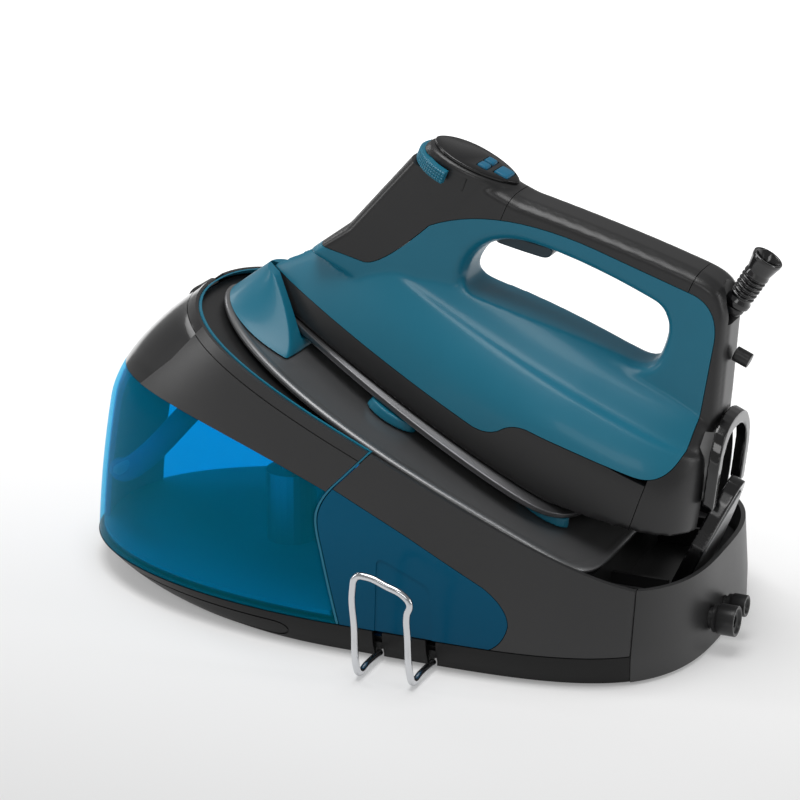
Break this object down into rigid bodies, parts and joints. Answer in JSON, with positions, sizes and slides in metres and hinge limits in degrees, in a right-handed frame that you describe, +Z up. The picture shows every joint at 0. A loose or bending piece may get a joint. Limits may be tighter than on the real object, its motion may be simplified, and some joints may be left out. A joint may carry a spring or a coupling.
{
  "type": "steam generator iron",
  "caption": "Steam generator iron: a hand iron resting on the sloping deck of a base with a slide-out water tank, filler flap and wire hose hook.",
  "frame": {"origin": "on the floor, in the plane of the feet, under the middle of the base", "axes": "+X along the base from the toe of the iron to the hose end, +Y to the side away from the wire hook, +Z up; the iron and deck slope up towards the toe by 23 degrees"},
  "size_m": [0.4159, 0.2617, 0.2715],
  "materials": {
    "charcoal_plastic": "fine satin",
    "black_plastic": "satin",
    "gloss_black": "gloss",
    "teal_plastic": "satin",
    "tank_blue": "clear tinted",
    "window_blue": "deep tinted gloss",
    "plate_metal": "metallic satin",
    "bright_steel": "polished wire",
    "cast_aluminium": "satin",
    "valve_brass": "machined",
    "board_green": "matte",
    "black_rubber": "matte"
  },
  "bodies": {
    "base": {"bottom_tray": "black_plastic", "foot_front_near": "black_rubber", "foot_front_far": "black_rubber", "foot_rear_near": "black_rubber", "foot_rear_far": "black_rubber", "base_body": "charcoal_plastic", "rear_housing": "charcoal_plastic", "side_window_near": "window_blue", "side_window_far": "window_blue", "cord_gland": "black_plastic", "hose_gland": "black_plastic", "deck": "black_plastic", "rest_plate": "plate_metal", "rest_pad_front_near": "teal_plastic", "rest_pad_front_far": "teal_plastic", "rest_pad_rear_near": "teal_plastic", "rest_pad_rear_far": "teal_plastic", "plate_post_near": "black_plastic", "plate_post_far": "black_plastic", "toe_holder": "teal_plastic", "heel_stop": "black_plastic", "heel_stop_face": "plate_metal", "hook_guide_left": "black_plastic", "hook_guide_right": "black_plastic", "boiler": "bright_steel", "boiler_heater_ring": "cast_aluminium", "pump": "black_plastic", "steam_valve": "valve_brass", "control_board": "board_green", "tank_coupling": "black_plastic"},
    "tank": {"water_tank": "tank_blue", "tank_cover": "charcoal_plastic", "tank_seal": "teal_plastic", "water_filter": "cast_aluminium"},
    "flap": {"filler_flap": "gloss_black"},
    "latch": {"tank_latch": "gloss_black"},
    "hook": {"cord_hook": "bright_steel"},
    "iron": {"soleplate": "cast_aluminium", "steam_chamber": "cast_aluminium", "sensor_board": "board_green", "skirt": "black_plastic", "side_shell": "teal_plastic", "front_column": "black_plastic", "front_spine": "gloss_black", "handle_top": "black_plastic", "pod_panel": "gloss_black", "rear_cover": "black_plastic", "heel_bow": "black_plastic", "heel_stud": "black_plastic", "trigger_switch": "black_plastic"},
    "program_key": {"program_button": "teal_plastic"},
    "steam_key": {"steam_button": "teal_plastic"},
    "power_key": {"power_button": "teal_plastic"},
    "dial": {"steam_dial": "teal_plastic"},
    "trigger": {"steam_trigger": "black_plastic"},
    "hose_end": {"hose_relief": "black_rubber", "hose_swivel": "black_plastic"}
  },
  "joints": [
    {"name": "tank_pull", "type": "slide", "parent": "base", "child": "tank", "axis": [-1, 0, 0], "range_m": [0, 0.12]},
    {"name": "flap_hinge", "type": "hinge", "parent": "tank", "child": "flap", "pos_m": [-0.148, 0, 0.1555], "axis": [0, 1, 0], "range_deg": [0, 80]},
    {"name": "latch_slide", "type": "slide", "parent": "tank", "child": "latch", "axis": [-1, 0, 0], "range_m": [0, 0.0025], "stiffness_N_per_m": 400},
    {"name": "hook_slide", "type": "slide", "parent": "base", "child": "hook", "axis": [0, 1, 0], "range_m": [0, 0.022]},
    {"name": "iron_lift", "type": "slide", "parent": "base", "child": "iron", "axis": [0.6561, 0, 0.7547], "range_m": [0, 0.12]},
    {"name": "program_press", "type": "slide", "parent": "iron", "child": "program_key", "axis": [-0.3907, 0, -0.9205], "range_m": [0, 0.0012], "stiffness_N_per_m": 300},
    {"name": "steam_press", "type": "slide", "parent": "iron", "child": "steam_key", "axis": [-0.3907, 0, -0.9205], "range_m": [0, 0.0012], "stiffness_N_per_m": 300},
    {"name": "power_press", "type": "slide", "parent": "iron", "child": "power_key", "axis": [-0.3907, 0, -0.9205], "range_m": [0, 0.0012], "stiffness_N_per_m": 300},
    {"name": "dial_turn", "type": "hinge", "parent": "iron", "child": "dial", "pos_m": [0.03008, 0, 0.25446], "axis": [0.3907, 0, 0.9205], "range_deg": [-20, 20]},
    {"name": "trigger_pull", "type": "hinge", "parent": "iron", "child": "trigger", "pos_m": [0.05548, 0, 0.22086], "axis": [0, -1, 0], "range_deg": [0, 5], "stiffness_Nm_per_rad": 0.5},
    {"name": "hose_swing", "type": "hinge", "parent": "iron", "child": "hose_end", "pos_m": [0.192, 0, 0.19442], "axis": [0, 1, 0], "range_deg": [-8, 35]}
  ]
}
